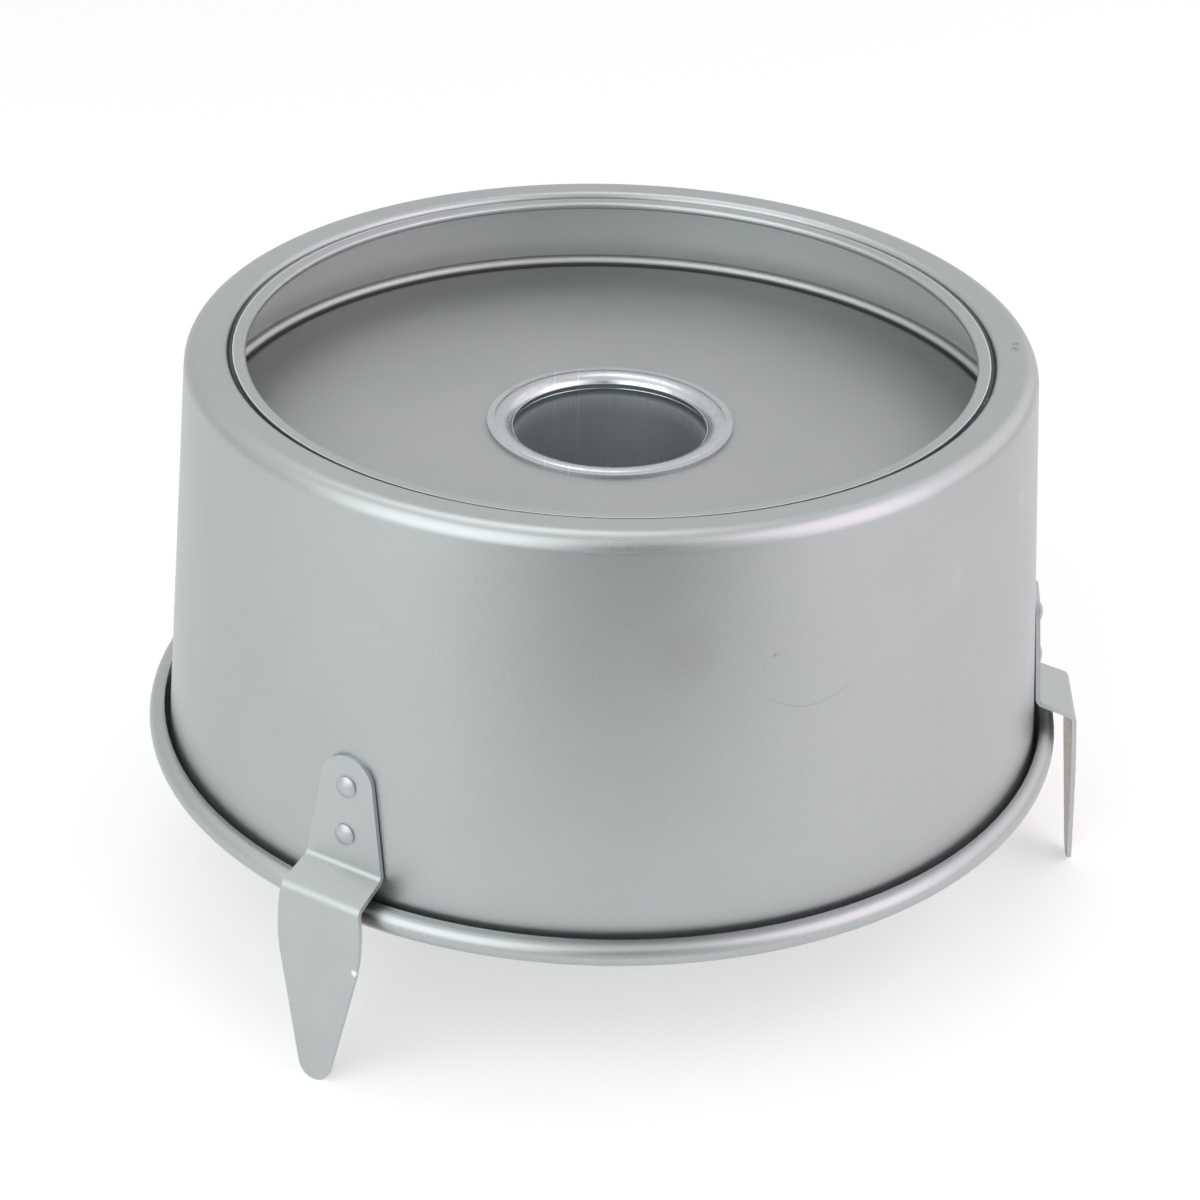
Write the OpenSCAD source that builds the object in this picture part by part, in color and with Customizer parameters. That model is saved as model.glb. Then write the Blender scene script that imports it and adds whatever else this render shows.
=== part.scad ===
// Angel food cake pan, upside down on its three feet, as it stands while a cake cools.
// Z is the pan's axis and z = 0 is the table. The feet stand on it, and so does the tube
// of the loose base, which has slid a little way down out of its seat.
// A pan is pressed from sheet, so most profiles here are sheet sections turned about Z.

/* [Outer pan] */
// Height from the flat ring of the base to the bottom of the rolled rim
pan_h = 108.4; // [95:0.1:120]
// Inside diameter of the mouth, at the rim
mouth_d = 229.2; // [224:0.1:236]
// Outside diameter of the wall at the shoulder
base_d = 215.2; // [211:0.1:218]
// Thickness of the pan's sheet
sheet_t = 1; // [0.8:0.05:1.1]
// Outside radius of the bend between wall and base
shoulder_r = 4.6; // [3.5:0.1:5]

/* [Hemmed hole in the base] */
// Width of the base from the outside of the wall in to the edge of the hole
ledge_w = 15.5; // [14.5:0.1:22]
// Width of the folded hem round the hole
hem_w = 3.3; // [2.8:0.1:4.5]
// How far the hem lies below the flat ring of the base
hem_drop = 1.2; // [0.8:0.1:1.4]
// Gap between the hem's cut edge and the step up to the flat ring
hem_gap = 1.35; // [0.6:0.05:1.5]
// Inside radius of the step's two bends
step_bend_r = 0.8; // [0.7:0.05:1]

/* [Rolled rim] */
// Outside diameter of the curl
curl_d = 6.4; // [5.6:0.1:7]
// Where the curl's cut edge ends, in degrees above level on its outer side
curl_end = 105; // [80:1:110]

/* [Loose base] */
// How far the disc's edge lies inside the outside of the pan's shoulder
disc_inset = 1.6; // [1.4:0.1:3]
// Thickness of the base disc
disc_t = 1; // [0.8:0.05:1.2]
// Width of the bead round the disc's edge
edge_bead_w = 3.4; // [2.8:0.1:4]
// Height of that bead above the disc
edge_bead_h = 2.4; // [2.3:0.1:2.8]
// Inside radius of the bend at the foot of the bead
edge_bend_r = 0.3; // [0.2:0.05:0.6]

/* [Tube] */
// Bore of the tube
bore_d = 50; // [44:0.5:54]
// Thickness of the tube's wall and flange
tube_t = 1; // [0.8:0.05:1.1]
// Length of the tube up to the top of its flange
tube_l = 127.6; // [124:0.1:132]
// Diameter of the flange that lies on the disc
flange_d = 63; // [61:0.1:68]
// Width of the flare that leads out of the bore up to the crest of the lip
flare_w = 3.4; // [3.3:0.05:3.5]
// Radius of the flare and of the crest
flare_r = 3.6; // [3.55:0.05:3.8]
// How far the crest stands above the flat of the flange
lip_rise = 0.3; // [0.2:0.05:0.5]
// Inside radius of the crease between crest and flange
crease_r = 0.6; // [0.4:0.05:0.8]
// Inside radius of the bead that locks the tube to the disc
lock_bead_r = 0.45; // [0.4:0.05:0.6]
// How far the middle of that bead lies outside the bore
lock_bead_out = 0.3; // [0.25:0.05:0.4]
// Gap between the tube and the edge of the disc's hole
lip_gap = 0.05; // [0.02:0.01:0.1]

/* [Feet] */
// Turn of the front foot about the pan's axis
foot_turn = -121.8; // [-180:0.1:180]
// How far the feet reach below the rim
foot_reach = 42.4; // [38:0.1:50]
// Thickness of a foot's sheet
foot_t = 1.2; // [1:0.05:1.5]
// How far the wall is let into the back of a foot, where the flat tab is pressed to it
foot_bite = 0.12; // [0.05:0.01:0.2]
// Height of the tab's top above the bottom of the rim
tab_top_h = 42.3; // [41.5:0.1:48]
// Diameter of the tab's round top
tab_top_d = 15; // [13:0.1:17]
// Height of the bend where the foot leaves the wall, above the bottom of the rim
bend_h = 12.8; // [12:0.1:14]
// How far the foot drops while it steps out over the rim
step_drop = 3.7; // [3:0.1:4.5]
// Gap between the rim and the back of the foot
rim_gap = 4.1; // [2.5:0.1:5]
// Slope of the foot below the step, outwards from upright
foot_flare = 4.8; // [3:0.1:8]
// Width of the tab at the upper bend
tab_w = 22; // [19:0.1:24]
// Greatest width of the foot
foot_w = 24.2; // [22:0.1:28]
// How far below the rim's bottom the foot starts to narrow
narrow_h = 6; // [5:0.1:9]
// Radius that rounds the corners of the foot's sides
side_r = 45; // [20:1:46]
// Diameter of the foot's round tip
tip_d = 9.4; // [7:0.1:11]
// Inside radius of the upper bend, at the foot of the tab
foot_bend_r = 1.5; // [1:0.1:2]
// Inside radius of the lower bend, where the foot turns down again
foot_knee_r = 1.3; // [1:0.1:2.4]

/* [Rivets] */
// Depth of the upper rivet below the top of the tab
rivet_top = 8.1; // [6.5:0.1:8.5]
// Height from the lower rivet to the upper one
rivet_pitch = 12.9; // [11:0.1:13.5]
// Diameter of the shank
shank_d = 3.2; // [2.6:0.1:3.4]
// Gap between the shank and its holes, all round
shank_gap = 0.03; // [0.01:0.01:0.05]
// Diameter of the head
head_d = 5.5; // [4.5:0.1:6.5]
// Height of the head
head_h = 1.3; // [1:0.1:1.6]
// Height of the head's upright edge, below its dome
head_edge = 0.4; // [0.2:0.05:0.6]
// Diameter of the end that is upset inside the pan
tail_d = 4.2; // [4:0.1:4.8]
// Height of that end
tail_h = 0.7; // [0.6:0.1:1]
// Gap between that end and the curved inside of the wall, at its middle
tail_gap = 0.02; // [0.02:0.01:0.05]

/* [Hidden] */
$fn = 180;

// Arcs in the profiles are drawn with steps of about this length
arc_step = 0.42;
// Room for cutting shapes to reach past what they cut
over = 1;

// Heights of the pan's main planes above the table
rim_z = foot_reach;
base_z = rim_z + pan_h;
hem_z = base_z - hem_drop;

// The bend of the shoulder and the curl of the rim, as [radius, height] of their centres
curl_r = curl_d / 2;
shoulder_c = [base_d / 2 - shoulder_r, base_z - shoulder_r];
curl_c = [mouth_d / 2 + curl_r, rim_z + curl_r];

// The wall is straight. Its outer face touches the outside of the shoulder's bend and the
// inside of the curl, which sets the angle by which it leans out of the upright.
wall_run = curl_c - shoulder_c;
wall_angle = atan2(wall_run.y, wall_run.x)
           + acos((shoulder_r + curl_r - sheet_t) / norm(wall_run));

// Hem, and the step up to the flat ring: two equal bends that turn opposite ways
hole_r = base_d / 2 - ledge_w;
hem_out_r = hole_r + hem_w;
step_out_r = step_bend_r + sheet_t;
step_turn = acos(1 - (hem_drop + sheet_t) / (step_bend_r + step_out_r));
step_run = (step_bend_r + step_out_r) * sin(step_turn);
step_face = sqrt(pow(step_out_r, 2) - pow(step_out_r - hem_drop, 2));
step_r = hem_out_r + hem_gap + step_face - step_run;

// Base disc: its top lies under the tube's flange
disc_d = base_d - 2 * disc_inset;
disc_z = tube_l - tube_t;
edge_bead_r = edge_bead_w / 2;
bead_c = [disc_d / 2 - edge_bead_r, disc_z + edge_bead_h - edge_bead_r];
edge_c = [bead_c.x - edge_bead_r - edge_bend_r, disc_z + edge_bend_r];

// Tube: the wall flares out, goes over the crest and creases into the flange. The disc's
// hole is dished to the flare, and the locking bead lies just under that hole's lower edge.
bore_r = bore_d / 2;
flare_c = [bore_r + flare_w, tube_l + lip_rise - flare_r];
crest_turn = acos(1 - lip_rise / (flare_r + crease_r));
crease_c = [flare_c.x + (flare_r + crease_r) * sin(crest_turn), tube_l + crease_r];
dish_r = flare_r - tube_t - lip_gap;
dish_start = 180 - asin((disc_z - flare_c.y) / dish_r);
dish_end = 180 - asin((disc_z - disc_t - flare_c.y) / dish_r);
disc_hole_r = flare_c.x + dish_r * cos(dish_end);
lock_c = [bore_r + lock_bead_out,
          disc_z - disc_t - sqrt(pow(lock_bead_r + tube_t + lip_gap, 2)
                                 - pow(disc_hole_r - bore_r - lock_bead_out, 2))];

// Feet and rivets. A foot is drawn as it stands on the +X side and is then turned.
rivet_zs = [rim_z + tab_top_h - rivet_top, rim_z + tab_top_h - rivet_top - rivet_pitch];
bend_z = rim_z + bend_h;
step_z = bend_z - step_drop;
tab_r = wall_r(bend_z) + (foot_t - foot_bite) / cos(wall_angle);
step_tip_r = curl_c.x + curl_r + rim_gap + foot_t / cos(foot_flare)
           - (step_z - curl_c.y) * tan(foot_flare);
tab_way = wall_angle - 90;
step_way = atan2(step_z - bend_z, step_tip_r - tab_r);
foot_way = foot_flare - 90;
narrow_z = rim_z - narrow_h;

// Point at distance r and angle a from a centre
function around(c, r, a) = c + r * [cos(a), sin(a)];

// Points of an arc from angle a0 to a1, in steps that suit its length
function arc(c, r, a0, a1) =
    let (n = max(5, ceil(abs(a1 - a0) * PI / 180 * r / arc_step)))
    [for (i = [0:n]) around(c, r, a0 + (a1 - a0) * i / n)];

// Radius of the wall's outer face at height z
function wall_r(z) =
    let (p = around(shoulder_c, shoulder_r, wall_angle))
    p.x + (p.y - z) * tan(wall_angle);

// Radius of the ball of which a cap of diameter d and height h is the top
function ball_r(d, h) = (d * d / 4 + h * h) / (2 * h);

// Angle at which a line from point p touches the near right side of a circle
function touch(c, r, p) = atan2(p.y - c.y, p.x - c.x) + acos(r / norm(p - c)) * (p.y > c.y ? -1 : 1);

// Arc of radius side_r that rounds the corner at b, between points a and c
function rounded(a, b, c) =
    let (u = (a - b) / norm(a - b),
         v = (c - b) / norm(c - b),
         half = acos(u * v) / 2,
         mid = b + side_r / sin(half) * (u + v) / norm(u + v),
         side = cross(u, v) < 0 ? 1 : -1,
         start = atan2(u.y, u.x) + side * 90)
    arc(mid, side_r, start, start + side * (180 - 2 * half));

// The same points on the other side of the upright axis, in the opposite order
function mirrored(pts) = [for (i = [len(pts) - 1:-1:0]) [-pts[i].x, pts[i].y]];

// Section of the outer pan: folded hem, step, flat ring, shoulder, wall and open curl
pan_section = concat(
    arc([hole_r + sheet_t, hem_z - sheet_t], sheet_t, 90, 270),
    arc([step_r, hem_z - sheet_t + step_bend_r], step_out_r, 270, 270 + step_turn),
    arc([step_r + step_run, base_z - step_out_r], step_bend_r, 90 + step_turn, 90),
    arc(shoulder_c, shoulder_r - sheet_t, 90, wall_angle),
    arc(curl_c, curl_r, 180 + wall_angle, 360 + curl_end),
    arc(curl_c, curl_r - sheet_t, 360 + curl_end, 180 + wall_angle),
    arc(shoulder_c, shoulder_r, wall_angle, 90),
    arc([step_r + step_run, base_z - step_out_r], step_out_r, 90, 90 + step_turn),
    arc([step_r, hem_z - sheet_t + step_bend_r], step_bend_r, 270 + step_turn, 270),
    [[hem_out_r, hem_z - sheet_t], [hem_out_r, hem_z]]);

// Section of the disc: a hole dished to the tube's flare, a flat web and an upright edge bead
disc_section = concat(
    arc(flare_c, dish_r, dish_start, dish_end),
    arc(edge_c, edge_bend_r + disc_t, 270, 360),
    arc(bead_c, edge_bead_r - disc_t, 180, 0),
    [[bead_c.x + edge_bead_r - disc_t, disc_z - disc_t], [disc_d / 2, disc_z - disc_t]],
    arc(bead_c, edge_bead_r, 0, 180),
    arc(edge_c, edge_bend_r, 360, 270));

// Section of the tube without its locking bead: wall, flare, crest, crease and flange
tube_section = concat(
    [[bore_r, 0], [bore_r + tube_t, 0]],
    arc(flare_c, flare_r - tube_t,
        90 + asin((flare_w - tube_t) / (flare_r - tube_t)), 90 - crest_turn),
    arc(crease_c, crease_r + tube_t, 270 - crest_turn, 270),
    [[flange_d / 2, disc_z], [flange_d / 2, tube_l]],
    arc(crease_c, crease_r, 270, 270 - crest_turn),
    arc(flare_c, flare_r, 90 - crest_turn, 90 + asin(flare_w / flare_r)));

// Side view of a foot's sheet, as [radius, height], from the top of the tab to the tip
foot_section = let (
        upper_half = (step_way - tab_way) / 2,
        lower_half = (step_way - foot_way) / 2,
        upper_c = around([tab_r, bend_z], foot_bend_r / cos(upper_half), tab_way + upper_half + 90),
        lower_c = around([step_tip_r, step_z], (foot_knee_r + foot_t) / cos(lower_half),
                         foot_way + lower_half - 90),
        tab_l = (rim_z + tab_top_h + over - bend_z) / cos(wall_angle),
        foot_l = (step_z + over) / cos(foot_flare),
        tab_top = [tab_r, bend_z] - tab_l * [cos(tab_way), sin(tab_way)],
        tip = [step_tip_r, step_z] + foot_l * [cos(foot_way), sin(foot_way)])
    concat(
    [tab_top],
    arc(upper_c, foot_bend_r, tab_way - 90, step_way - 90),
    arc(lower_c, foot_knee_r + foot_t, step_way + 90, foot_way + 90),
    [tip, around(tip, foot_t, foot_way - 90)],
    arc(lower_c, foot_knee_r, foot_way + 90, step_way + 90),
    arc(upper_c, foot_bend_r + foot_t, step_way - 90, tab_way - 90),
    [around(tab_top, foot_t, tab_way - 90)]);

// Front view of a foot: round tab, widening to the bends, then a long taper to a round tip
foot_outline = let (
        top_c = [0, rim_z + tab_top_h - tab_top_d / 2],
        tip_c = [0, tip_d / 2],
        narrow = [foot_w / 2, narrow_z],
        wide = [foot_w / 2, rim_z + curl_r],
        bend = [tab_w / 2, bend_z],
        tip_end = touch(tip_c, tip_d / 2, narrow),
        top_start = touch(top_c, tab_top_d / 2, bend),
        right = concat(
            arc(tip_c, tip_d / 2, -90, tip_end),
            rounded(around(tip_c, tip_d / 2, tip_end), narrow, wide),
            rounded(narrow, wide, bend),
            rounded(wide, bend, around(top_c, tab_top_d / 2, top_start)),
            arc(top_c, tab_top_d / 2, top_start, 90)))
    concat(right, mirrored(right));

// Section of a rivet, with z = 0 on the wall's outer face: domed head, shank and upset end
rivet_section = let (
        seat = foot_t - foot_bite,
        tail_z = -sheet_t - tail_gap,
        head_ball = ball_r(head_d, head_h - head_edge),
        tail_ball = ball_r(tail_d, tail_h))
    concat(
    arc([0, seat + head_h - head_ball], head_ball, 90, acos(head_d / 2 / head_ball)),
    [[head_d / 2, seat], [shank_d / 2, seat], [shank_d / 2, tail_z]],
    arc([0, tail_z - tail_h + tail_ball], tail_ball, -acos(tail_d / 2 / tail_ball), -90));

module outer_pan() {
    color("#b4b6b8")
        difference() {
            rotate_extrude() polygon(pan_section);
            for (i = [0:2], z = rivet_zs)
                at_rivet(i, z) rivet_hole();
        }
}

module base_disc() {
    color("#a9abac")
        rotate_extrude() polygon(disc_section);
}

module centre_tube() {
    color("#c9ccd0")
        rotate_extrude()
            difference() {
                union() {
                    polygon(tube_section);
                    intersection() {
                        translate(lock_c) circle(r = lock_bead_r + tube_t);
                        translate([bore_r, 0]) square([flange_d, tube_l]);
                    }
                }
                translate(lock_c) circle(r = lock_bead_r);
            }
}

// Solid cone of all that lies inside the wall's outer face
module inside_wall() {
    rotate_extrude()
        polygon([[0, step_z], [wall_r(step_z), step_z],
                 [wall_r(shoulder_c.y), shoulder_c.y], [0, shoulder_c.y]]);
}

// Places children on the wall's outer face, with +Z along its outward normal
module at_rivet(i, z) {
    rotate([0, 0, foot_turn + 120 * i])
        translate([wall_r(z), 0, z])
            rotate([0, 90 - wall_angle, 0])
                children();
}

// Hole for a rivet's shank through foot and wall
module rivet_hole() {
    translate([0, 0, -sheet_t - over])
        cylinder(d = shank_d + 2 * shank_gap, h = sheet_t + foot_t + 2 * over);
}

module foot(i) {
    color("#adb0b3")
        difference() {
            rotate([0, 0, foot_turn + 120 * i])
                intersection() {
                    rotate([90, 0, 0])
                        translate([0, 0, -foot_w])
                            linear_extrude(height = 2 * foot_w) polygon(foot_section);
                    rotate([90, 0, 90])
                        linear_extrude(height = mouth_d) polygon(foot_outline);
                }
            inside_wall();
            for (z = rivet_zs)
                at_rivet(i, z) rivet_hole();
        }
}

module rivet(i, z) {
    color("#c2c4c6")
        at_rivet(i, z) rotate_extrude() polygon(rivet_section);
}

outer_pan();
base_disc();
centre_tube();
foot(0);  // foot_front
foot(1);  // foot_right
foot(2);  // foot_rear
rivet(0, rivet_zs[0]);  // rivet_front_upper
rivet(0, rivet_zs[1]);  // rivet_front_lower
rivet(1, rivet_zs[0]);  // rivet_right_upper
rivet(1, rivet_zs[1]);  // rivet_right_lower
rivet(2, rivet_zs[0]);  // rivet_rear_upper
rivet(2, rivet_zs[1]);  // rivet_rear_lower
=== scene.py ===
import math

import bmesh
import bpy
from mathutils import Matrix, Vector


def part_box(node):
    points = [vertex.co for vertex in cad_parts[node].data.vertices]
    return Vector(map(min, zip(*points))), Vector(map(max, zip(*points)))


# Angel food cake pan, upside down on its riveted feet, as it stands to cool.
# Everything is in metres, in the frame of the construction model: +Z is the pan's axis
# and z = 0 is the table. Marks on the metal are placed in millimetres.

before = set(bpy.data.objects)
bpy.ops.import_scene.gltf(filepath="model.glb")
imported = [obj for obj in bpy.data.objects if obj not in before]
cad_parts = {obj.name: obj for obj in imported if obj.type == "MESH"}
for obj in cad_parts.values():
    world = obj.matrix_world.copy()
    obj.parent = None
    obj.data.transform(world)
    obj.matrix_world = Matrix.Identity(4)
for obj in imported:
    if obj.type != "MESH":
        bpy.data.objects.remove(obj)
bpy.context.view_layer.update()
scene = bpy.context.scene
scene.view_settings.view_transform = "Standard"

MM = 0.001
# Places of a Mix node's two numbers and of its two colours among its inputs
MIX_NUMBERS = (2, 3)
MIX_COLOURS = (6, 7)


def linear(hex_colour):
    """The linear RGBA of an sRGB colour written as "#rrggbb"."""
    channels = [int(hex_colour[i:i + 2], 16) / 255 for i in (1, 3, 5)]
    return [c / 12.92 if c <= 0.04045 else ((c + 0.055) / 1.055) ** 2.4 for c in channels] + [1]


def add_node(tree, kind, inputs=None, **settings):
    """Adds a node with its settings and links, and gives it back.

    An input given as a socket is linked to it. One given as a node is linked to that node's
    first output in use.
    """
    node = tree.nodes.new(kind)
    for name, value in settings.items():
        setattr(node, name, value)
    for name, value in (inputs or {}).items():
        if isinstance(value, bpy.types.Node):
            value = next(output for output in value.outputs if output.enabled)
        if isinstance(value, bpy.types.NodeSocket):
            tree.links.new(value, node.inputs[name])
        else:
            node.inputs[name].default_value = value
    return node


def new_material(name):
    """An empty node material and its tree."""
    material = bpy.data.materials.new(name)
    material.use_nodes = True
    material.node_tree.nodes.clear()
    return material, material.node_tree


# Studio

# The photograph's viewpoint, fitted to the pan's circles: its place, how far it looks down and
# leans over in degrees, and the width of its sensor and its lens in millimetres
CAMERA_AT = (-0.00135, -0.69561, 0.46760)
CAMERA_DOWN = 29.479
CAMERA_ROLL = 1.509
CAMERA_SENSOR = 36
CAMERA_LENS = 90.451

WHITE = linear("#ffffff")
FLOOR_R = 3.0
# The floor's glow near the pan, and far from it, where less of the lamps' light falls
FLOOR_NEAR, FLOOR_FAR = 0.45, 1.3
GLOW_NEAR, GLOW_FAR = 0.46, 0.6
# What the world gives to matt surfaces, and what the camera and reflections see of it
WORLD_LEVEL = 0.33
WORLD_SHOWN = 0.87

# Two dark cards on the camera's side: one stands behind the camera, and one lies flat and
# fades out from its middle to its edge
FLAG_AT = (0.05, -1.25, 1.02)
FLAG_SIZE = (0.66, 1.5)
MAT_AT = (0.05, -0.88, 0.003)
MAT_DARK_R, MAT_CLEAR_R = 0.25, 0.66

# The lamps look at the pan's middle from about this far
LAMP_AIM = (0, 0, 0.08)
LAMP_DISTANCE = 1.05


def place_camera():
    data = bpy.data.cameras.new("camera")
    data.sensor_width = CAMERA_SENSOR
    data.lens = CAMERA_LENS
    data.clip_start = 0.01
    camera = bpy.data.objects.new("camera", data)
    scene.collection.objects.link(camera)
    camera.matrix_world = (Matrix.Translation(CAMERA_AT)
                           @ Matrix.Rotation(math.radians(90 - CAMERA_DOWN), 4, "X")
                           @ Matrix.Rotation(math.radians(CAMERA_ROLL), 4, "Z"))
    scene.camera = camera


def shown_background(tree):
    """1 for rays that show the background: from the camera, a reflection or a refraction."""
    path = add_node(tree, "ShaderNodeLightPath")
    seen = add_node(tree, "ShaderNodeMath", {0: path.outputs["Is Camera Ray"],
                                             1: path.outputs["Is Glossy Ray"]}, operation="MAXIMUM")
    return add_node(tree, "ShaderNodeMath", {0: seen, 1: path.outputs["Is Transmission Ray"]},
                    operation="MAXIMUM")


def put_on_stage(name, bm, material):
    """The object made of a bmesh, as a part of the studio."""
    mesh = bpy.data.meshes.new(name)
    bm.to_mesh(mesh)
    bm.free()
    mesh.materials.append(material)
    thing = bpy.data.objects.new(name, mesh)
    scene.collection.objects.link(thing)
    return thing


def build_floor():
    """A matt pale floor. A glow lifts it to the photograph's white, and shadows stay."""
    material, tree = new_material("pale studio floor")
    place = add_node(tree, "ShaderNodeTexCoord").outputs["Object"]
    away = add_node(tree, "ShaderNodeVectorMath", {0: place}, operation="LENGTH")
    lift = add_node(tree, "ShaderNodeMapRange", {"Value": away, "From Min": FLOOR_NEAR, "From Max": FLOOR_FAR,
                                                 "To Min": GLOW_NEAR, "To Max": GLOW_FAR})
    lift = add_node(tree, "ShaderNodeMath", {0: lift, 1: shown_background(tree)}, operation="MULTIPLY")
    matt = add_node(tree, "ShaderNodeBsdfDiffuse", {"Color": linear("#e8e8e8")})
    glow = add_node(tree, "ShaderNodeEmission", {"Color": WHITE, "Strength": lift})
    both = add_node(tree, "ShaderNodeAddShader", {0: matt, 1: glow})
    add_node(tree, "ShaderNodeOutputMaterial", {"Surface": both})
    bm = bmesh.new()
    bmesh.ops.create_circle(bm, cap_ends=True, segments=96, radius=FLOOR_R)
    put_on_stage("floor", bm, material)


def set_up_card(name, size, at, material, lean=0):
    """A card that the metal reflects. Like the lamps, no picture shows it."""
    bm = bmesh.new()
    bmesh.ops.create_grid(bm, x_segments=1, y_segments=1, size=0.5)
    bmesh.ops.scale(bm, vec=(*size, 1), verts=bm.verts)
    bmesh.ops.rotate(bm, matrix=Matrix.Rotation(math.radians(lean), 3, "X"), verts=bm.verts)
    bmesh.ops.translate(bm, vec=at, verts=bm.verts)
    card = put_on_stage(name, bm, material)
    card.visible_camera = False
    card.visible_shadow = False
    card.visible_diffuse = False


def set_up_dark_cards():
    material, tree = new_material("dark card")
    paper = add_node(tree, "ShaderNodeBsdfDiffuse", {"Color": linear("#8a8d8c")})
    add_node(tree, "ShaderNodeOutputMaterial", {"Surface": paper})
    set_up_card("flag", FLAG_SIZE, FLAG_AT, material, lean=90)

    material, tree = new_material("dark card with a soft edge")
    place = add_node(tree, "ShaderNodeTexCoord").outputs["Object"]
    away = add_node(tree, "ShaderNodeVectorMath", {0: place, 1: MAT_AT}, operation="DISTANCE")
    clear = add_node(tree, "ShaderNodeMapRange", {"Value": away, "From Min": MAT_DARK_R,
                                                  "From Max": MAT_CLEAR_R},
                     interpolation_type="SMOOTHSTEP")
    paper = add_node(tree, "ShaderNodeBsdfDiffuse", {"Color": linear("#7b7f7d")})
    gone = add_node(tree, "ShaderNodeBsdfTransparent")
    both = add_node(tree, "ShaderNodeMixShader", {0: clear, 1: paper, 2: gone})
    add_node(tree, "ShaderNodeOutputMaterial", {"Surface": both})
    set_up_card("flat card", (2 * MAT_CLEAR_R, 2 * MAT_CLEAR_R), MAT_AT, material)


def light_world():
    """Plain white light from all round, and a brighter white where the camera or the metal sees it."""
    world = bpy.data.worlds.new("studio")
    scene.world = world
    world.use_nodes = True
    tree = world.node_tree
    tree.nodes.clear()
    level = add_node(tree, "ShaderNodeMapRange", {"Value": shown_background(tree), "To Min": WORLD_LEVEL,
                                                  "To Max": WORLD_SHOWN})
    sky = add_node(tree, "ShaderNodeBackground", {"Color": WHITE, "Strength": level})
    add_node(tree, "ShaderNodeOutputWorld", {"Surface": sky})


def softbox(name, azimuth, elevation, size, watts, colour="#ffffff", distance=LAMP_DISTANCE):
    """A rectangular lamp, with its angles in degrees and its width and height in metres.

    Azimuth 0 is on the camera's side, and 90 on the pan's right.
    """
    a, e = math.radians(azimuth), math.radians(elevation)
    way = Vector((math.sin(a) * math.cos(e), -math.cos(a) * math.cos(e), math.sin(e)))
    data = bpy.data.lights.new(name, "AREA")
    data.shape = "RECTANGLE"
    data.size, data.size_y = size
    data.energy = watts
    data.color = linear(colour)[:3]
    lamp = bpy.data.objects.new(name, data)
    scene.collection.objects.link(lamp)
    lamp.visible_camera = False
    lamp.matrix_world = (Matrix.Translation(Vector(LAMP_AIM) + way * distance)
                         @ way.to_track_quat("Z", "Y").to_matrix().to_4x4())


# Patterns

def part_place(tree):
    """Place on the part, its distance from the pan's axis, and its height."""
    place = add_node(tree, "ShaderNodeTexCoord").outputs["Object"]
    flat = add_node(tree, "ShaderNodeVectorMath", {0: place, 1: (1, 1, 0)}, operation="MULTIPLY")
    radius = add_node(tree, "ShaderNodeVectorMath", {0: flat}, operation="LENGTH")
    height = add_node(tree, "ShaderNodeSeparateXYZ", {0: place}).outputs["Z"]
    return place, radius, height


def grain(tree, place, size_mm):
    """Fine grain of about size_mm: its height, and a mask that is 1 on its peaks."""
    height = add_node(tree, "ShaderNodeTexNoise", {"Vector": place, "Scale": 1 / (size_mm * MM),
                                                   "Detail": 3.0, "Roughness": 0.6})
    return height, add_node(tree, "ShaderNodeMapRange", {"Value": height, "From Min": 0.3, "From Max": 0.7})


def mottling(tree, place, size_mm, low, high, weakest=0.0, strongest=1.0, detail=2.0):
    """A mask in lumps of about size_mm. Noise from low to high gives weakest to strongest."""
    noise = add_node(tree, "ShaderNodeTexNoise", {"Vector": place, "Scale": 1 / (size_mm * MM),
                                                  "Detail": detail, "Roughness": 0.6})
    return add_node(tree, "ShaderNodeMapRange", {"Value": noise, "From Min": low, "From Max": high,
                                                 "To Min": weakest, "To Max": strongest})


def zone(tree, distance, low_mm=None, high_mm=None, soft_mm=0.3):
    """1 between two values of a distance, falling to 0 within soft_mm outside them.

    An end that isn't given stays open.
    """
    ends = []
    if low_mm is not None:
        ends.append(add_node(tree, "ShaderNodeMapRange", {"Value": distance,
                                                          "From Min": (low_mm - soft_mm) * MM,
                                                          "From Max": low_mm * MM}))
    if high_mm is not None:
        ends.append(add_node(tree, "ShaderNodeMapRange", {"Value": distance,
                                                          "From Min": high_mm * MM,
                                                          "From Max": (high_mm + soft_mm) * MM,
                                                          "To Min": 1.0, "To Max": 0.0}))
    return overlap(tree, *ends)


def overlap(tree, *masks):
    """Where all of the masks are 1. A mask can be a plain strength."""
    both = masks[0]
    for mask in masks[1:]:
        both = add_node(tree, "ShaderNodeMath", {0: both, 1: mask}, operation="MULTIPLY")
    return both


def either(tree, *masks):
    """Where one of the masks is 1."""
    any_of = masks[0]
    for mask in masks[1:]:
        any_of = add_node(tree, "ShaderNodeMath", {0: any_of, 1: mask}, operation="MAXIMUM")
    return any_of


def dab(tree, place, at_mm, radius_mm, tall=1.0):
    """1 round a point of the part, falling to 0 at radius_mm, or tall times that upwards."""
    away = add_node(tree, "ShaderNodeVectorMath", {0: place, 1: [c * MM for c in at_mm]},
                    operation="SUBTRACT")
    away = add_node(tree, "ShaderNodeVectorMath", {0: away, 1: (1, 1, 1 / tall)}, operation="MULTIPLY")
    away = add_node(tree, "ShaderNodeVectorMath", {0: away}, operation="LENGTH")
    return zone(tree, away, high_mm=0.3 * radius_mm, soft_mm=0.7 * radius_mm)


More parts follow.
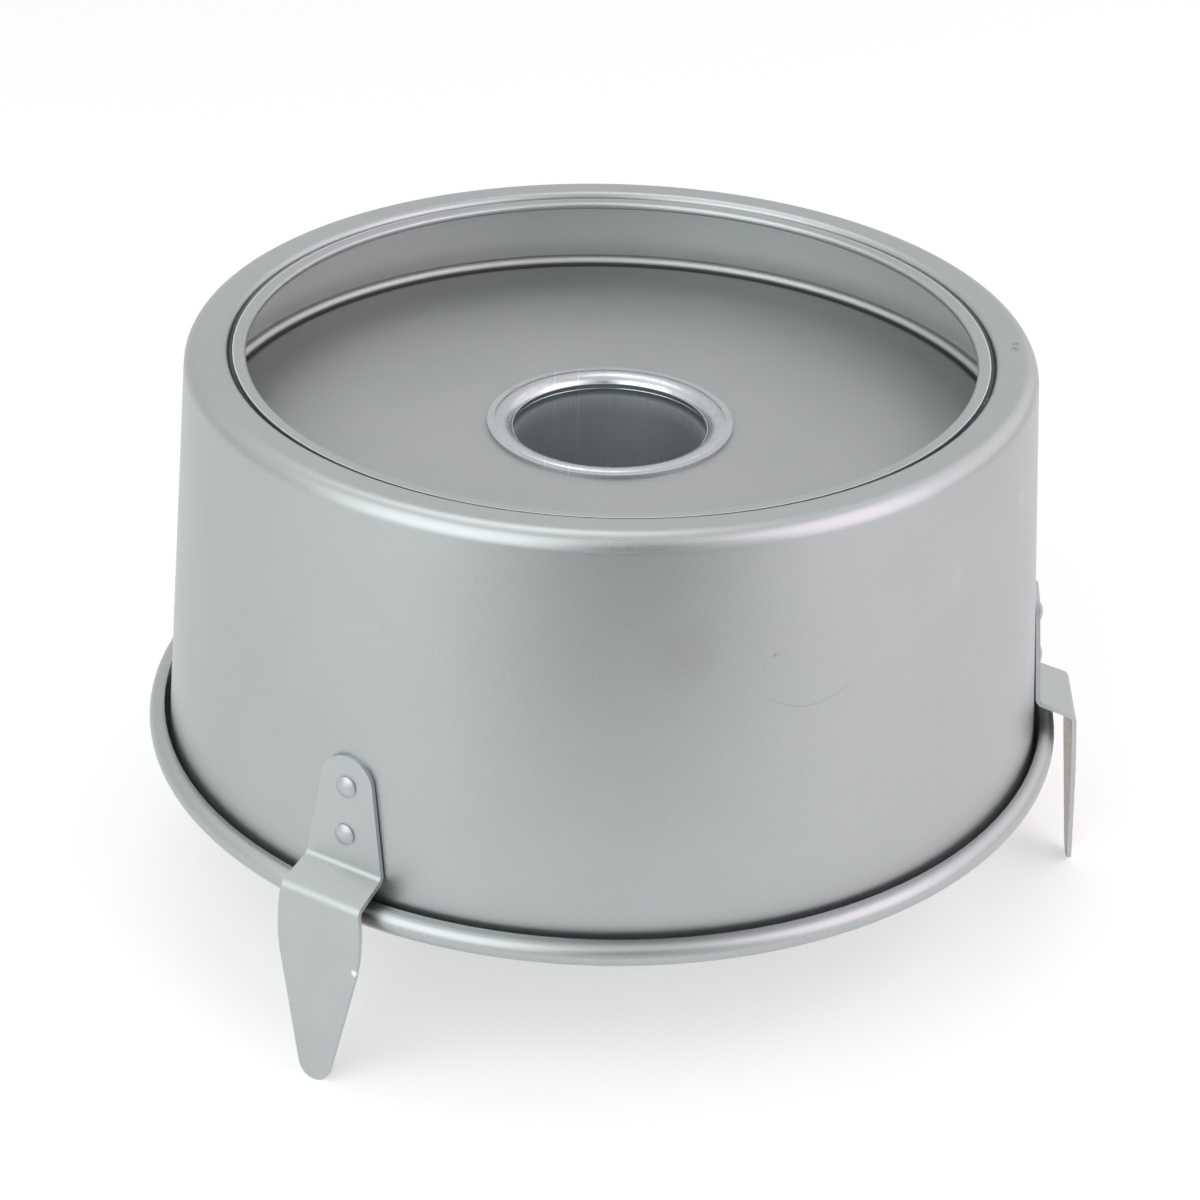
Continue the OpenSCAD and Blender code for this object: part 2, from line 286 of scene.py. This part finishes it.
def ball_line(tree, place, at_mm, radius_mm, width_mm):
    """1 on the thin line where a ball cuts the surface: a curved scratch."""
    away = add_node(tree, "ShaderNodeVectorMath", {0: place, 1: [c * MM for c in at_mm]},
                    operation="DISTANCE")
    away = add_node(tree, "ShaderNodeMath", {0: away, 1: radius_mm * MM}, operation="SUBTRACT")
    away = add_node(tree, "ShaderNodeMath", {0: away}, operation="ABSOLUTE")
    return zone(tree, away, high_mm=0.2 * width_mm, soft_mm=0.8 * width_mm)


def laid_over(tree, colour, film, *masks):
    """A colour with a film of another over it, where all of the masks are 1."""
    under, over = MIX_COLOURS
    return add_node(tree, "ShaderNodeMix", {0: overlap(tree, *masks), under: colour, over: linear(film)},
                    data_type="RGBA")


def metal_surface(tree, colour, roughness, relief, depth_mm):
    """Metal as the material's surface, with a fine relief of depth_mm."""
    bump = add_node(tree, "ShaderNodeBump", {"Height": relief, "Strength": 1.0, "Distance": depth_mm * MM})
    metal = add_node(tree, "ShaderNodeBsdfPrincipled", {"Base Color": colour, "Metallic": 1.0,
                                                        "Roughness": roughness, "Normal": bump})
    add_node(tree, "ShaderNodeOutputMaterial", {"Surface": metal})


# Finishes

# Sizes that the marks follow, in mm: the flat ring's height, the disc's underside and edge,
# and the hem's outer edge
RING_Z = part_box("outer_pan")[1].z / MM
DISC_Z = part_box("base_disc")[0].z / MM
DISC_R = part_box("base_disc")[1].x / MM
HEM_R = 95.45
# The wall's outer face: its slope, and its radius in metres where it would meet the table
WALL_SLOPE = 0.0793
WALL_FOOT_R = 0.11921

# Marks of use, as dab() takes them: a place and a radius in mm, and how much taller than wide
CRUMBS = [((92.8, -27.5, RING_Z - 2.2), 3.2), ((82.3, -51.2, RING_Z - 2.2), 3.6)]
SPECKS = [((101.6, -1.1, RING_Z), 1.5), ((102.0, 2.2, RING_Z), 1.2)]
STAIN = ((38.9, -102.6, 119.2), 0.8)
HEAT_TOUCH = ((18.9, -107.9, 122.2), 11)
PALE_SPOT = ((82.9, -71.5, 123), 2.6, 2.5)
UPRIGHT_RUB = ((108.4, -31.6, 80), 3.4, 25 / 3)
FLECKS = ((101.0, -40.8, 130.0), 2.6)
CHIP = ((-57.6, -113.9, 34.6), 1.1)
# Lines, as ball_line() takes them: the ball's place and radius and the line's width, in mm.
# The balls of the drawing lines are so large that the lines are straight
SCRATCH = ((47.7, -98.6, 121.9), 17.4, 0.22)
SCRATCH_TOP = 106.5
DRAWING_LINES = [((-1008.4, 23.6, 110), 1000, 0.18), ((-1014.6, 23.6, 110), 1000, 0.14)]


def etched_pan_sheet():
    """Spun aluminium, etched and then clear anodised.

    The etch leaves an even matt grain, which makes wide soft highlights and a pale grey that
    is a little cool. Its grain of about 0.1 mm is drawn at 0.5 mm, or it wouldn't show. The
    inside is never rubbed and stays rougher, and it is painted paler, a painted light that lifts
    its shade. The hem's sheared edge is bare, with a painted highlight that makes it shine more.
    The groove round the hem is painted dark as painted shade, and baking leaves a few brown
    crumbs in it and brown specks near the shoulder.
    """
    material, tree = new_material("etched anodised pan sheet")
    place, radius, height = part_place(tree)
    relief, peaks = grain(tree, place, 0.5)
    colour = laid_over(tree, linear("#a7acab"), "#acb1b0", mottling(tree, place, 38, 0.35, 0.65))
    colour = laid_over(tree, colour, "#b2b5b6", peaks)

    # The inside: behind the wall's face, and below the shoulder. Its paler colour is painted light that lifts
    # its shade
    wall_face = add_node(tree, "ShaderNodeMath", {0: height, 1: -WALL_SLOPE, 2: WALL_FOOT_R},
                         operation="MULTIPLY_ADD")
    depth = add_node(tree, "ShaderNodeMath", {0: wall_face, 1: radius}, operation="SUBTRACT")
    inside = overlap(tree, zone(tree, depth, low_mm=0.6, soft_mm=0.2),
                     zone(tree, height, high_mm=RING_Z - 5.3, soft_mm=0.5))
    colour = laid_over(tree, colour, "#d5d9d9", inside)

    # The outside's roughness follows its grain, and the inside is rougher by 0.26
    rubbed = add_node(tree, "ShaderNodeMapRange", {"Value": peaks, "To Min": 0.34, "To Max": 0.42})
    roughness = add_node(tree, "ShaderNodeMath", {0: inside, 1: 0.26, 2: rubbed}, operation="MULTIPLY_ADD")

    # Painted shade: a dark line in the groove between the hem and the step, weakest at the back, where the
    # step's face is lit
    behind = add_node(tree, "ShaderNodeSeparateXYZ", {0: place}).outputs["Y"]
    behind = add_node(tree, "ShaderNodeMapRange", {"Value": behind, "From Max": 0.05, "To Min": 1.0,
                                                   "To Max": 0.2})
    colour = laid_over(tree, colour, "#35373a", zone(tree, radius, HEM_R + 0.05, HEM_R + 1.85, 0.35),
                       zone(tree, height, high_mm=RING_Z - 1.9, soft_mm=0.6),
                       zone(tree, height, low_mm=RING_Z - 3.6, soft_mm=0.2), behind, 0.92)

    # Sheared outer edge of the hem: a bright line, bare metal with a painted highlight
    colour = laid_over(tree, colour, "#dcdedf", zone(tree, radius, HEM_R - 0.3, HEM_R, 0.08),
                       zone(tree, height, low_mm=RING_Z - 1.7, soft_mm=0.2))

    # Crumbs in the groove outside the hem, at two places on the right
    crumbs = either(tree, *[dab(tree, place, *crumb) for crumb in CRUMBS])
    colour = laid_over(tree, colour, "#857a68", crumbs, zone(tree, radius, HEM_R + 0.15, HEM_R + 2.45),
                       zone(tree, height, low_mm=RING_Z - 3.0, soft_mm=0.2),
                       mottling(tree, place, 0.9, 0.45, 0.6))

    # Brown baked-on specks where the flat ring turns into the shoulder
    specks = either(tree, *[dab(tree, place, *speck) for speck in SPECKS])
    colour = laid_over(tree, colour, "#75624a", specks, mottling(tree, place, 0.7, 0.42, 0.5), 0.9)

    # One fine curved scratch on the wall and a tiny stain above it
    colour = laid_over(tree, colour, "#6f7375", ball_line(tree, place, *SCRATCH),
                       zone(tree, height, high_mm=SCRATCH_TOP, soft_mm=4), 0.28)
    colour = laid_over(tree, colour, "#8d7b72", dab(tree, place, *STAIN), 0.4)

    # A faint brown touch of heat, a pale rubbed spot and a faint upright rub near the right foot
    colour = laid_over(tree, colour, "#8f8776", dab(tree, place, *HEAT_TOUCH), 0.12)
    colour = laid_over(tree, colour, "#d3d3d4", dab(tree, place, *PALE_SPOT), 0.12)
    colour = laid_over(tree, colour, "#d8d8d9", dab(tree, place, *UPRIGHT_RUB),
                       mottling(tree, place, 4, 0.35, 0.6), 0.14)

    # A few pale flecks high on the wall at the right
    colour = laid_over(tree, colour, "#dcdad4", dab(tree, place, *FLECKS),
                       mottling(tree, place, 0.8, 0.52, 0.58), 0.7)
    metal_surface(tree, colour, roughness, relief, 0.004)
    return material


def etched_disc_sheet():
    """The same etched, anodised sheet on the loose base, a little greyer.

    It is never rubbed, so it is rougher than the wall's outside. Its edge bead has the
    brown-grey film that batter leaves where the base seats, a painted highlight on its inner
    flank, and painted shade as a dark line in the corner below that.
    """
    material, tree = new_material("etched anodised disc sheet")
    place, radius, height = part_place(tree)
    relief, peaks = grain(tree, place, 0.5)
    colour = laid_over(tree, linear("#a5a9a8"), "#abaead", mottling(tree, place, 30, 0.35, 0.65))
    colour = laid_over(tree, colour, "#afb2b1", peaks)

    # Film on the bead, then a painted highlight on its inner flank, then painted shade in the corner
    colour = laid_over(tree, colour, "#a1988d", zone(tree, radius, low_mm=DISC_R - 2.4, soft_mm=0.6),
                       zone(tree, height, low_mm=DISC_Z + 2.8, soft_mm=0.8),
                       mottling(tree, place, 6, 0.3, 0.6, weakest=0.35, strongest=0.8))
    colour = laid_over(tree, colour, "#ced0d1", zone(tree, radius, DISC_R - 3.5, DISC_R - 2.6),
                       zone(tree, height, low_mm=DISC_Z + 1.8, soft_mm=0.4))
    colour = laid_over(tree, colour, "#3a3a3a", zone(tree, radius, low_mm=DISC_R - 4.0, soft_mm=1.4),
                       zone(tree, height, high_mm=DISC_Z + 1.3, soft_mm=0.7),
                       zone(tree, radius, high_mm=DISC_R - 3.3, soft_mm=0.2), 0.85)
    roughness = add_node(tree, "ShaderNodeMapRange", {"Value": peaks, "To Min": 0.54, "To Max": 0.62})
    metal_surface(tree, colour, roughness, relief, 0.004)
    return material


def drawn_tube():
    """Drawn aluminium tube, left bare.

    Drawing leaves fine lines along the bore, with a few deeper ones. The flange was spun over,
    so its lines run round. It is smoother than the etched sheet and has faint smudges, while
    the bore is rougher, most of all just under the lip.
    """
    material, tree = new_material("bare drawn aluminium")
    place, radius, height = part_place(tree)
    low_number, high_number = MIX_NUMBERS
    under, over = MIX_COLOURS
    on_flange = zone(tree, height, low_mm=DISC_Z + 1.2, soft_mm=0.6)

    # Drawing lines of 0.45 mm in the bore, and turning lines of 0.22 mm on the flange
    stretched = add_node(tree, "ShaderNodeMapping", {"Vector": place, "Scale": (1, 1, 0.012)})
    lines = add_node(tree, "ShaderNodeTexNoise", {"Vector": stretched, "Scale": 1 / (0.45 * MM),
                                                  "Detail": 3.0, "Roughness": 0.6})
    squeezed = add_node(tree, "ShaderNodeMath", {0: height, 1: 0.3}, operation="MULTIPLY")
    turned = add_node(tree, "ShaderNodeCombineXYZ", {"X": radius, "Z": squeezed})
    rings = add_node(tree, "ShaderNodeTexNoise", {"Vector": turned, "Scale": 1 / (0.22 * MM),
                                                  "Detail": 2.0, "Roughness": 0.6})
    relief = add_node(tree, "ShaderNodeMix", {0: on_flange, low_number: lines, high_number: rings},
                      data_type="FLOAT")
    peaks = add_node(tree, "ShaderNodeMapRange", {"Value": relief, "From Min": 0.3, "From Max": 0.7})

    smudge = overlap(tree, mottling(tree, place, 5, 0.5, 0.68, detail=4.0), on_flange)
    valley = laid_over(tree, linear("#c8ced1"), "#bbbec1", on_flange)
    peak = laid_over(tree, linear("#d2d7da"), "#c7c9cc", on_flange)
    colour = add_node(tree, "ShaderNodeMix", {0: peaks, under: valley, over: peak}, data_type="RGBA")
    colour = laid_over(tree, colour, "#9a9da0", smudge, 0.25)

    # Two deeper drawing lines on the far side of the bore
    deep = either(tree, *[ball_line(tree, place, *line) for line in DRAWING_LINES])
    colour = laid_over(tree, colour, "#eceef0", deep, 0.5)

    # The bore grows rougher upwards, and the lip is smooth but for its smudges
    bore = add_node(tree, "ShaderNodeMapRange", {"Value": height, "From Min": (DISC_Z - 7.6) * MM,
                                                 "From Max": (DISC_Z - 3.4) * MM,
                                                 "To Min": 0.45, "To Max": 0.56})
    lip = add_node(tree, "ShaderNodeMapRange", {"Value": smudge, "To Min": 0.27, "To Max": 0.4})
    near_lip = zone(tree, height, low_mm=DISC_Z - 2.0, soft_mm=1.2)
    roughness = add_node(tree, "ShaderNodeMix", {0: near_lip, low_number: bore, high_number: lip},
                         data_type="FLOAT")
    metal_surface(tree, colour, roughness, relief, 0.005)
    return material


def etched_foot_sheet():
    """Thicker aluminium sheet, blanked and bent, then etched and anodised like the pan.

    It is the mattest part. Its back, towards the hot pan, carries a brown speckled film, and
    its blanked edges are painted a little brighter than its face, as painted light where they
    catch the lamps.
    """
    material, tree = new_material("etched anodised foot sheet")
    texture = add_node(tree, "ShaderNodeTexCoord")
    place = texture.outputs["Object"]
    relief, peaks = grain(tree, place, 0.5)
    colour = laid_over(tree, linear("#adb2b1"), "#b2b7b6", mottling(tree, place, 14, 0.35, 0.65))
    colour = laid_over(tree, colour, "#b6bbba", peaks)

    # Facing is 1 on the face, -1 on the back and 0 on the blanked edges
    outward = add_node(tree, "ShaderNodeVectorMath", {0: place, 1: (1, 1, 0)}, operation="MULTIPLY")
    outward = add_node(tree, "ShaderNodeVectorMath", {0: outward}, operation="NORMALIZE")
    facing = add_node(tree, "ShaderNodeVectorMath", {0: texture.outputs["Normal"], 1: outward},
                      operation="DOT_PRODUCT")
    aside = add_node(tree, "ShaderNodeMath", {0: facing}, operation="ABSOLUTE")
    edge = add_node(tree, "ShaderNodeMapRange", {"Value": aside, "From Min": 0.05, "From Max": 0.25,
                                                 "To Min": 1.0, "To Max": 0.0})
    back = add_node(tree, "ShaderNodeMapRange", {"Value": facing, "From Min": -0.6, "From Max": -0.9})
    # Painted light: the blanked edges are painted paler
    colour = laid_over(tree, colour, "#c9cdd2", edge, 0.5)
    colour = laid_over(tree, colour, "#9a8c7b", back,
                       mottling(tree, place, 0.9, 0.4, 0.58, weakest=0.2, strongest=0.95, detail=3.0))

    # A bright chip in the front foot's edge
    colour = laid_over(tree, colour, "#f2f3f3", dab(tree, place, *CHIP))
    roughness = add_node(tree, "ShaderNodeMapRange", {"Value": peaks, "To Min": 0.42, "To Max": 0.5})
    metal_surface(tree, colour, roughness, relief, 0.004)
    return material


def headed_rivet():
    """Soft aluminium rivet, headed cold in a set.

    The set smooths the head, so it is a little brighter than the etched sheet, with a fine
    uneven grain of pressing marks.
    """
    material, tree = new_material("headed aluminium rivet")
    relief, peaks = grain(tree, add_node(tree, "ShaderNodeTexCoord").outputs["Object"], 0.4)
    colour = laid_over(tree, linear("#afb1b3"), "#bbbdbf", peaks)
    roughness = add_node(tree, "ShaderNodeMapRange", {"Value": peaks, "To Min": 0.4, "To Max": 0.48})
    metal_surface(tree, colour, roughness, relief, 0.006)
    return material


def dress(node_name, material):
    """Gives a piece its finish."""
    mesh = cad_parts[node_name].data
    mesh.materials.clear()
    mesh.materials.append(material)


# Setting up

place_camera()
build_floor()
set_up_dark_cards()
light_world()
softbox("left softbox", -39.5, 32, (1.1, 1.1), 5.6, "#f9ffff")
softbox("left side softbox", -104, 46, (0.7, 0.8), 0.3, "#f9ffff")
softbox("right softbox", 65, 32, (0.8, 1.1), 3.75, "#ffecf7")
softbox("right side softbox", 118, 34, (0.95, 0.95), 1.5, "#ffeef8")
softbox("overhead softbox", -150, 72, (0.6, 0.6), 1.6, distance=1.1)

foot_finish = etched_foot_sheet()
rivet_finish = headed_rivet()
dress("outer_pan", etched_pan_sheet())
dress("base_disc", etched_disc_sheet())
dress("centre_tube", drawn_tube())
for side in ("front", "right", "rear"):
    dress("foot_" + side, foot_finish)
    dress("rivet_" + side + "_upper", rivet_finish)
    dress("rivet_" + side + "_lower", rivet_finish)
